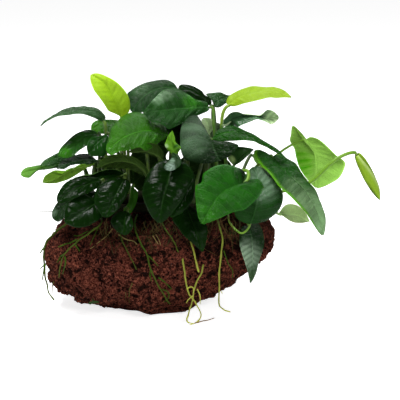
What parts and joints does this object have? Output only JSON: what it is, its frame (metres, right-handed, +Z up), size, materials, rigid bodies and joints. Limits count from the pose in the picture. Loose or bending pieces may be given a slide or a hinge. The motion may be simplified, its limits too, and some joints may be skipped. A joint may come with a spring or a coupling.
{
  "type": "anubias on stone",
  "caption": "Leafy water plant with a creeping stem, heart-shaped and pointed leaves and trailing roots, grown on a rough lump of red-brown lava stone.",
  "frame": {"origin": "middle of the flat patch under the stone, which it rests on", "axes": "+X along the stone to the right as seen from the front, +Y to the back, +Z up"},
  "size_m": [0.2401, 0.1433, 0.156],
  "materials": {
    "lava_stone": "rough, porous",
    "rhizome_skin": "satin",
    "leaf_new": "smooth, young",
    "leaf_fresh": "smooth, wet",
    "leaf_old": "glossy",
    "leaf_sheen": "waxy sheen",
    "leaf_under": "matt underside",
    "root_skin": "satin"
  },
  "bodies": {
    "root": {"stone": "lava_stone", "rhizome": "rhizome_skin", "rhizome_branch": "rhizome_skin", "leaf_new_left": "leaf_new", "leaf_arching_left": "leaf_sheen", "leaf_bright_left": "leaf_fresh", "leaf_shoulder_left": "leaf_old", "leaf_wet_front": "leaf_fresh", "leaf_small_left": "leaf_old", "leaf_far_left": "leaf_sheen", "leaf_tip_left": "leaf_new", "leaf_underside_left": "leaf_under", "leaf_edge_left": "leaf_sheen", "leaf_arch_middle": "leaf_under", "leaf_arch_upper": "leaf_under", "leaf_arch_lower": "leaf_old", "leaf_low_left": "leaf_old", "leaf_glossy_left": "leaf_sheen", "leaf_bottom_left": "leaf_old", "leaf_front_left": "leaf_old", "leaf_small_front": "leaf_old", "leaf_hanging_left": "leaf_old", "leaf_glossy_front": "leaf_old", "leaf_behind_front": "leaf_old", "leaf_folded_small": "leaf_new", "leaf_dark_middle": "leaf_old", "leaf_top_left": "leaf_sheen", "leaf_top_big": "leaf_sheen", "leaf_top_behind": "leaf_old", "leaf_top_small": "leaf_sheen", "leaf_new_right": "leaf_new", "leaf_wavy_right": "leaf_old", "leaf_green_right": "leaf_fresh", "leaf_middle": "leaf_sheen", "leaf_small_middle": "leaf_under", "leaf_dark_right": "leaf_old", "leaf_big_right": "leaf_sheen", "leaf_hanging_middle": "leaf_old", "leaf_front_heart": "leaf_fresh", "leaf_grey_right": "leaf_sheen", "leaf_hanging_right": "leaf_sheen", "leaf_backlit_right": "leaf_under", "leaf_pale_right": "leaf_under", "leaf_rolled_right": "leaf_new", "leaf_back_left": "leaf_old", "leaf_back_middle": "leaf_sheen", "leaf_back_right": "leaf_old", "leaf_back_far_right": "leaf_fresh", "leaf_back_low_left": "leaf_old", "leaf_back_low_middle": "leaf_old", "leaf_back_low_right": "leaf_old", "root_left_side": "root_skin", "root_left_front": "root_skin", "root_middle_left": "root_skin", "root_middle": "root_skin", "root_middle_right": "root_skin", "root_stub": "root_skin", "root_floor_left": "root_skin", "root_floor_right": "root_skin", "root_right": "root_skin"}
  },
  "joints": []
}
